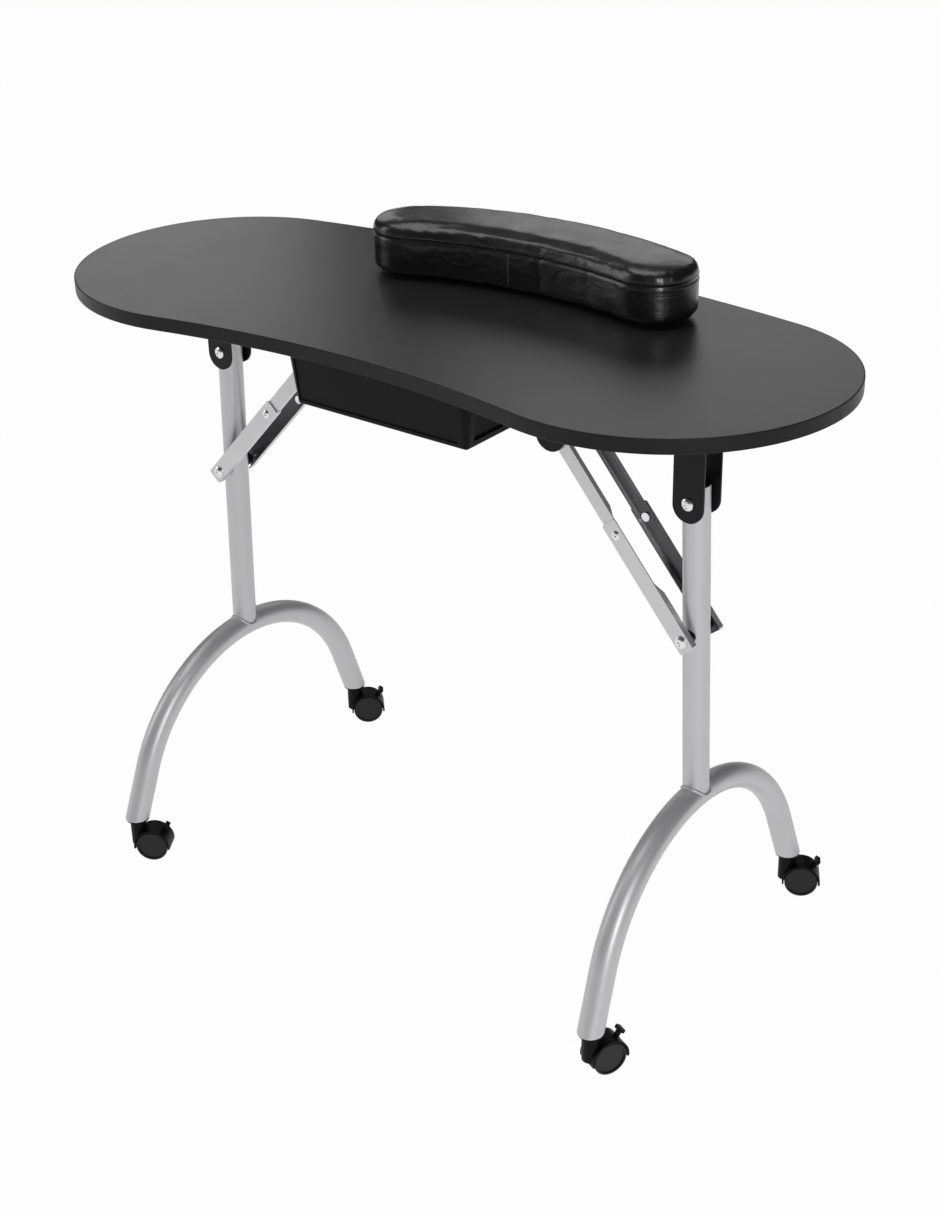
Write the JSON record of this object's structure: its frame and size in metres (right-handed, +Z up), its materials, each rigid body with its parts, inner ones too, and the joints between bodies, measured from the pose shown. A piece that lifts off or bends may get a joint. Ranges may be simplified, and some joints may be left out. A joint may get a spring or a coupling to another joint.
{
  "type": "folding manicure table",
  "caption": "Folding manicure table with a kidney-shaped top, arched legs on braked casters, folding braces, a hanging drawer and a loose wrist cushion.",
  "frame": {"origin": "on the floor, under the middle of the whole table as it stands; its posts stand 10.5 mm nearer the technician's side", "axes": "+X along the table to its right end, -Y towards the technician's concave edge and the drawer, +Y towards the client and the cushion, +Z up"},
  "size_m": [0.924, 0.4476, 0.7573],
  "materials": {
    "laminate": "smooth black melamine with a slight sheen",
    "edge_band": "black moulded edging",
    "silver_tube": "silver-grey metallic paint",
    "black_steel": "black powder coat",
    "zinc": "bright zinc plate",
    "stamped_steel": "zinc plated sheet",
    "black_plastic": "fine grained moulding",
    "wheel_plastic": "hard nylon tread",
    "soft_leather": "glossy creased synthetic leather",
    "base_board": "raw fibreboard"
  },
  "bodies": {
    "left_leg": {"left_post": "silver_tube", "left_post_cap": "black_plastic", "left_arch": "silver_tube", "left_brace_rod": "zinc", "left_brace_spacers": "black_plastic", "front_left_caster_socket": "black_plastic", "rear_left_caster_socket": "black_plastic"},
    "left_front_upper_brace": {"left_front_upper_link": "stamped_steel"},
    "left_front_lower_brace": {"left_front_lower_link": "stamped_steel", "left_front_brace_rivets": "zinc"},
    "left_rear_upper_brace": {"left_rear_upper_link": "stamped_steel"},
    "left_rear_lower_brace": {"left_rear_lower_link": "stamped_steel", "left_rear_brace_rivets": "zinc"},
    "right_leg": {"right_post": "silver_tube", "right_post_cap": "black_plastic", "right_arch": "silver_tube", "right_brace_rod": "zinc", "right_brace_spacers": "black_plastic", "front_right_caster_socket": "black_plastic", "rear_right_caster_socket": "black_plastic"},
    "right_front_upper_brace": {"right_front_upper_link": "stamped_steel"},
    "right_front_lower_brace": {"right_front_lower_link": "stamped_steel", "right_front_brace_rivets": "zinc"},
    "right_rear_upper_brace": {"right_rear_upper_link": "stamped_steel"},
    "right_rear_lower_brace": {"right_rear_lower_link": "stamped_steel", "right_rear_brace_rivets": "zinc"},
    "front_left_caster": {"front_left_caster_hood": "black_plastic", "front_left_caster_stem": "zinc"},
    "front_left_caster_wheel_pair": {"front_left_caster_wheels": "wheel_plastic"},
    "front_left_caster_brake_lever": {"front_left_caster_brake": "black_plastic"},
    "rear_left_caster": {"rear_left_caster_hood": "black_plastic", "rear_left_caster_stem": "zinc"},
    "rear_left_caster_wheel_pair": {"rear_left_caster_wheels": "wheel_plastic"},
    "rear_left_caster_brake_lever": {"rear_left_caster_brake": "black_plastic"},
    "front_right_caster": {"front_right_caster_hood": "black_plastic", "front_right_caster_stem": "zinc"},
    "front_right_caster_wheel_pair": {"front_right_caster_wheels": "wheel_plastic"},
    "front_right_caster_brake_lever": {"front_right_caster_brake": "black_plastic"},
    "rear_right_caster": {"rear_right_caster_hood": "black_plastic", "rear_right_caster_stem": "zinc"},
    "rear_right_caster_wheel_pair": {"rear_right_caster_wheels": "wheel_plastic"},
    "rear_right_caster_brake_lever": {"rear_right_caster_brake": "black_plastic"},
    "top": {"tabletop_board": "laminate", "edge_band": "edge_band", "bracket_screws": "zinc", "left_drawer_rail": "black_steel", "right_drawer_rail": "black_steel", "left_hinge_bracket": "black_steel", "left_hinge_bolt": "zinc", "left_brace_bracket": "black_steel", "left_brace_pivots": "zinc", "right_hinge_bracket": "black_steel", "right_hinge_bolt": "zinc", "right_brace_bracket": "black_steel", "right_brace_pivots": "zinc"},
    "drawer": {"drawer_tray": "black_plastic"},
    "wrist_cushion": {"cushion_pad": "soft_leather", "cushion_base": "base_board"}
  },
  "joints": [
    {"name": "left_leg_fold", "type": "hinge", "parent": "top", "child": "left_leg", "pos_m": [-0.313, -0.0105, 0.592], "axis": [0, -1, 0], "range_deg": [0, 93.5]},
    {"name": "left_front_upper_brace_turn", "type": "hinge", "parent": "top", "child": "left_front_upper_brace", "pos_m": [-0.14948, -0.0395, 0.63138], "axis": [0, -1, 0], "range_deg": [0, 93.04]},
    {"name": "left_front_elbow", "type": "hinge", "parent": "left_front_upper_brace", "child": "left_front_lower_brace", "pos_m": [-0.23409, -0.0395, 0.53936], "axis": [0, 1, 0], "range_deg": [0, 161.23]},
    {"name": "left_rear_upper_brace_turn", "type": "hinge", "parent": "top", "child": "left_rear_upper_brace", "pos_m": [-0.14948, 0.0185, 0.63138], "axis": [0, -1, 0], "range_deg": [0, 93.04]},
    {"name": "left_rear_elbow", "type": "hinge", "parent": "left_rear_upper_brace", "child": "left_rear_lower_brace", "pos_m": [-0.23409, 0.0185, 0.53936], "axis": [0, 1, 0], "range_deg": [0, 161.23]},
    {"name": "right_leg_fold", "type": "hinge", "parent": "top", "child": "right_leg", "pos_m": [0.313, -0.0105, 0.568], "axis": [0, 1, 0], "range_deg": [0, 90.5]},
    {"name": "right_front_upper_brace_turn", "type": "hinge", "parent": "top", "child": "right_front_upper_brace", "pos_m": [0.15864, -0.0395, 0.61539], "axis": [0, 1, 0], "range_deg": [0, 105.13]},
    {"name": "right_front_elbow", "type": "hinge", "parent": "right_front_upper_brace", "child": "right_front_lower_brace", "pos_m": [0.23865, -0.0395, 0.51935], "axis": [0, -1, 0], "range_deg": [0, 155.81]},
    {"name": "right_rear_upper_brace_turn", "type": "hinge", "parent": "top", "child": "right_rear_upper_brace", "pos_m": [0.15864, 0.0185, 0.61539], "axis": [0, 1, 0], "range_deg": [0, 105.13]},
    {"name": "right_rear_elbow", "type": "hinge", "parent": "right_rear_upper_brace", "child": "right_rear_lower_brace", "pos_m": [0.23865, 0.0185, 0.51935], "axis": [0, -1, 0], "range_deg": [0, 155.81]},
    {"name": "front_left_caster_swivel", "type": "hinge", "parent": "left_leg", "child": "front_left_caster", "pos_m": [-0.33179, -0.20885, 0.03], "axis": [0, 0, 1], "continuous": true},
    {"name": "front_left_caster_roll", "type": "hinge", "parent": "front_left_caster", "child": "front_left_caster_wheel_pair", "pos_m": [-0.31737, -0.19984, 0.019], "axis": [0.5299, -0.848, 0], "continuous": true},
    {"name": "front_left_caster_brake_press", "type": "hinge", "parent": "front_left_caster", "child": "front_left_caster_brake_lever", "pos_m": [-0.30886, -0.19452, 0.03015], "axis": [-0.5299, 0.848, 0], "range_deg": [0, 16]},
    {"name": "rear_left_caster_swivel", "type": "hinge", "parent": "left_leg", "child": "rear_left_caster", "pos_m": [-0.33179, 0.18785, 0.03], "axis": [0, 0, 1], "continuous": true},
    {"name": "rear_left_caster_roll", "type": "hinge", "parent": "rear_left_caster", "child": "rear_left_caster_wheel_pair", "pos_m": [-0.31935, 0.19944, 0.019], "axis": [0.682, -0.7314, 0], "continuous": true},
    {"name": "rear_left_caster_brake_press", "type": "hinge", "parent": "rear_left_caster", "child": "rear_left_caster_brake_lever", "pos_m": [-0.31201, 0.20629, 0.03015], "axis": [-0.682, 0.7314, 0], "range_deg": [0, 16]},
    {"name": "front_right_caster_swivel", "type": "hinge", "parent": "right_leg", "child": "front_right_caster", "pos_m": [0.33095, -0.20885, 0.03], "axis": [0, 0, 1], "continuous": true},
    {"name": "front_right_caster_roll", "type": "hinge", "parent": "front_right_caster", "child": "front_right_caster_wheel_pair", "pos_m": [0.33786, -0.19332, 0.019], "axis": [0.9135, -0.4067, 0], "continuous": true},
    {"name": "front_right_caster_brake_press", "type": "hinge", "parent": "front_right_caster", "child": "front_right_caster_brake_lever", "pos_m": [0.34195, -0.18415, 0.03015], "axis": [-0.9135, 0.4067, 0], "range_deg": [0, 16]},
    {"name": "rear_right_caster_swivel", "type": "hinge", "parent": "right_leg", "child": "rear_right_caster", "pos_m": [0.33095, 0.18785, 0.03], "axis": [0, 0, 1], "continuous": true},
    {"name": "rear_right_caster_roll", "type": "hinge", "parent": "rear_right_caster", "child": "rear_right_caster_wheel_pair", "pos_m": [0.34552, 0.1966, 0.019], "axis": [0.515, -0.8572, 0], "continuous": true},
    {"name": "rear_right_caster_brake_press", "type": "hinge", "parent": "rear_right_caster", "child": "rear_right_caster_brake_lever", "pos_m": [0.35412, 0.20177, 0.03015], "axis": [-0.515, 0.8572, 0], "range_deg": [0, 16]},
    {"name": "drawer_slide", "type": "slide", "parent": "top", "child": "drawer", "axis": [0, -1, 0], "range_m": [0, 0.09]},
    {"name": "cushion_lift", "type": "slide", "parent": "top", "child": "wrist_cushion", "axis": [0, 0, 1], "range_m": [0, 0.06]}
  ],
  "couplings": [
    {"joint": "left_front_upper_brace_turn", "follows": "left_leg_fold", "ratio": 0.99499},
    {"joint": "left_front_elbow", "follows": "left_leg_fold", "ratio": 1.7243},
    {"joint": "left_rear_upper_brace_turn", "follows": "left_leg_fold", "ratio": 0.99499},
    {"joint": "left_rear_elbow", "follows": "left_leg_fold", "ratio": 1.7243},
    {"joint": "right_front_upper_brace_turn", "follows": "right_leg_fold", "ratio": 1.1616},
    {"joint": "right_front_elbow", "follows": "right_leg_fold", "ratio": 1.7215},
    {"joint": "right_rear_upper_brace_turn", "follows": "right_leg_fold", "ratio": 1.1616},
    {"joint": "right_rear_elbow", "follows": "right_leg_fold", "ratio": 1.7215}
  ]
}
